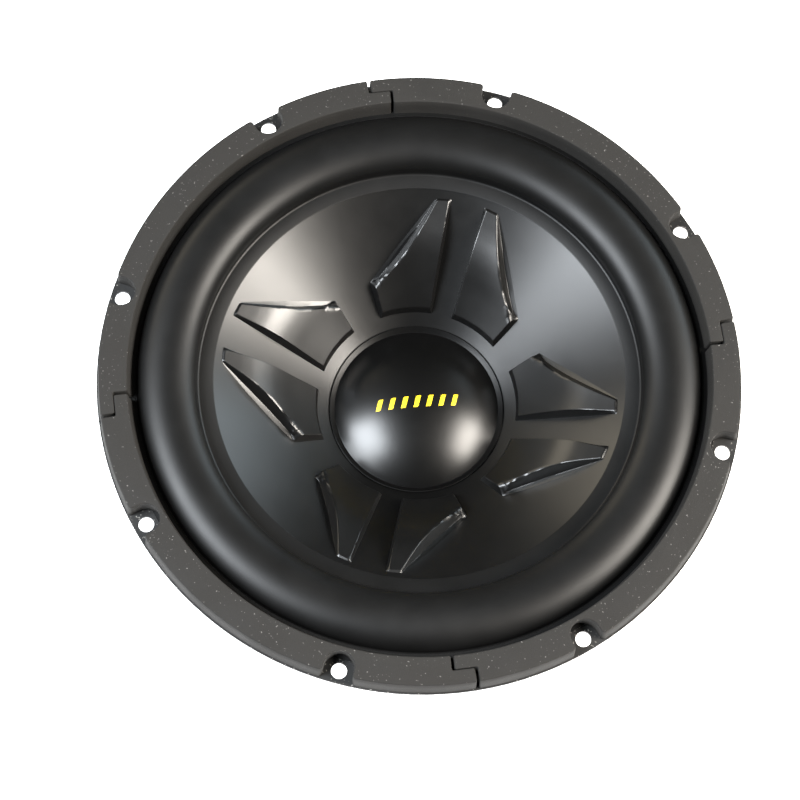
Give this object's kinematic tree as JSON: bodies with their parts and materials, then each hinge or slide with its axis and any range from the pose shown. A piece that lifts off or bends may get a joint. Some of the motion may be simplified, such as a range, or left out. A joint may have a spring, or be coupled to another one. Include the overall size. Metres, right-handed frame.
{
  "type": "car subwoofer speaker",
  "caption": "Round car subwoofer driver with a bladed cone, rubber surround, trim gasket, pressed frame, vented magnet and push terminals.",
  "frame": {"origin": "centre of the bolt circle at the rear face of the mounting flange", "axes": "+Z along the speaker's axis, the way the cone faces; +X through a bolt hole and along the middle of a pair of blades"},
  "size_m": [0.312, 0.312, 0.1461],
  "materials": {
    "frame_steel": "satin black paint on pressed steel",
    "gasket_rubber": "fine matte moulded rubber",
    "surround_rubber": "satin butyl rubber",
    "spider_cloth": "resin-treated woven cotton",
    "cone_plastic": "satin injection-moulded polypropylene",
    "cap_plastic": "satin to semi-gloss black plastic",
    "former_film": "thin black-anodised aluminium sheet",
    "kraft_paper": "kraft paper wrap",
    "copper_wire": "enamelled copper winding",
    "zinc_steel": "zinc-plated steel",
    "ferrite": "ground ferrite, dark grey",
    "screw_steel": "zinc-plated screws",
    "boot_rubber": "soft black rubber",
    "screen_mesh": "black moulded mesh",
    "block_plastic": "black moulded plastic",
    "button_red": "red moulded plastic",
    "button_black": "black moulded plastic",
    "spring_wire": "bright spring wire",
    "contact_brass": "tinned brass strip",
    "rivet_steel": "bright rivet",
    "tinsel_braid": "woven copper tinsel",
    "anchor_solder": "solder pad under glue"
  },
  "bodies": {
    "frame": {"basket": "frame_steel", "gasket_segment_1": "gasket_rubber", "gasket_segment_2": "gasket_rubber", "gasket_segment_3": "gasket_rubber", "gasket_segment_4": "gasket_rubber", "surround": "surround_rubber", "spider": "spider_cloth", "top_plate": "zinc_steel", "ferrite_magnet": "ferrite", "yoke": "zinc_steel", "plate_screws": "screw_steel", "magnet_boot": "boot_rubber", "vent_screen": "screen_mesh", "terminal_block": "block_plastic", "red_spring": "spring_wire", "black_spring": "spring_wire", "red_contact": "contact_brass", "black_contact": "contact_brass", "block_rivets": "rivet_steel", "red_tinsel_lead": "tinsel_braid", "black_tinsel_lead": "tinsel_braid"},
    "cone": {"cone": "cone_plastic", "dust_cap": "cap_plastic", "coil_former": "former_film", "former_collar": "kraft_paper", "voice_coil": "copper_wire", "lead_anchors": "anchor_solder"},
    "red_button_body": {"red_button": "button_red"},
    "black_button_body": {"black_button": "button_black"}
  },
  "joints": [
    {"name": "cone_stroke", "type": "slide", "parent": "frame", "child": "cone", "axis": [0, 0, 1], "range_m": [-0.012, 0.012], "stiffness_N_per_m": 4500, "deforming": ["surround", "spider", "red_tinsel_lead", "black_tinsel_lead"]},
    {"name": "red_button_press", "type": "slide", "parent": "frame", "child": "red_button_body", "axis": [0, 0, 1], "range_m": [0, 0.004], "stiffness_N_per_m": 1200, "deforming": ["red_spring"]},
    {"name": "black_button_press", "type": "slide", "parent": "frame", "child": "black_button_body", "axis": [0, 0, 1], "range_m": [0, 0.004], "stiffness_N_per_m": 1200, "deforming": ["black_spring"]}
  ]
}
